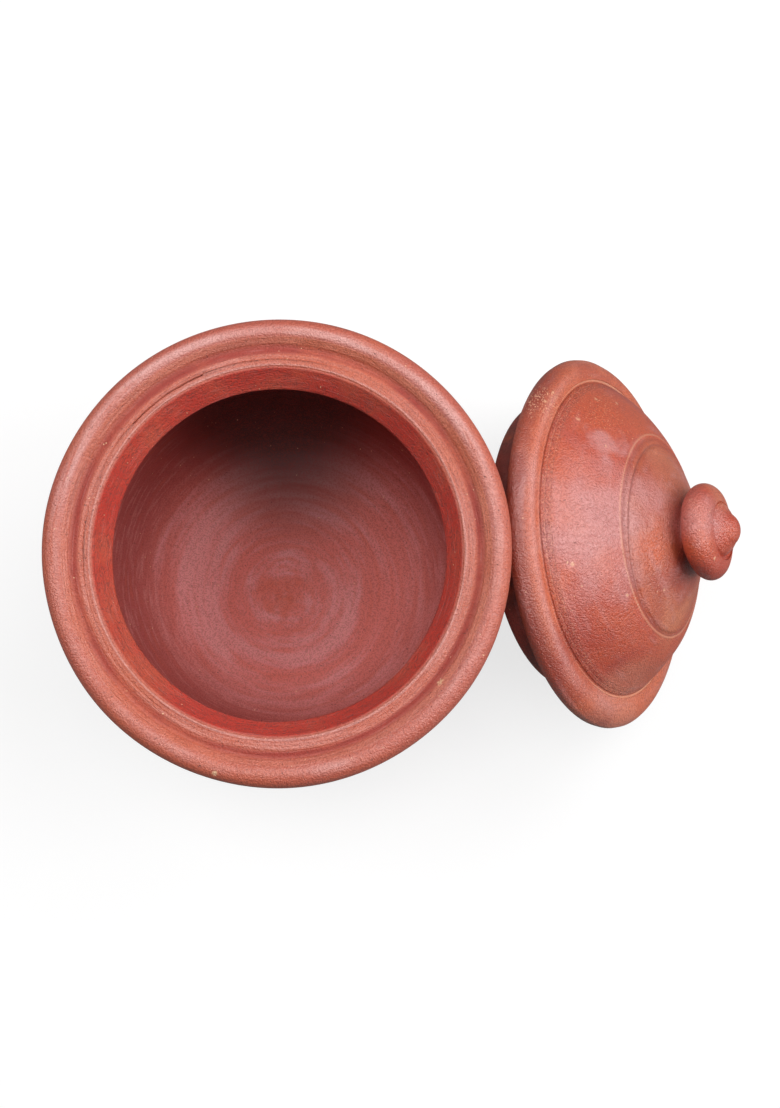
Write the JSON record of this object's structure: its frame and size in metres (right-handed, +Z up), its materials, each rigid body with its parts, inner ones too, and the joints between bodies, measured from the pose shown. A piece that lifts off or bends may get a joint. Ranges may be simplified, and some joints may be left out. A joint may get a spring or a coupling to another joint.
{
  "type": "curd pot",
  "caption": "Round-bellied earthenware curd pot with a rounded lip and a stepped lid seat; its domed, knobbed lid is off and leans against the lip.",
  "frame": {"origin": "middle of the pot's flat base, on the surface that it stands on", "axes": "+Z up along the pot's turning axis; +X from the pot towards the lid that leans on it"},
  "size_m": [0.2975, 0.194, 0.148],
  "materials": {
    "pot_terracotta": "matte unglazed",
    "lid_terracotta": "matte unglazed"
  },
  "bodies": {
    "pot": {"pot": "pot_terracotta"},
    "lid": {"lid": "lid_terracotta"}
  },
  "joints": [
    {"name": "lid_lift", "type": "slide", "parent": "pot", "child": "lid", "axis": [0.8224, 0, 0.569], "range_m": [0, 0.16]}
  ]
}
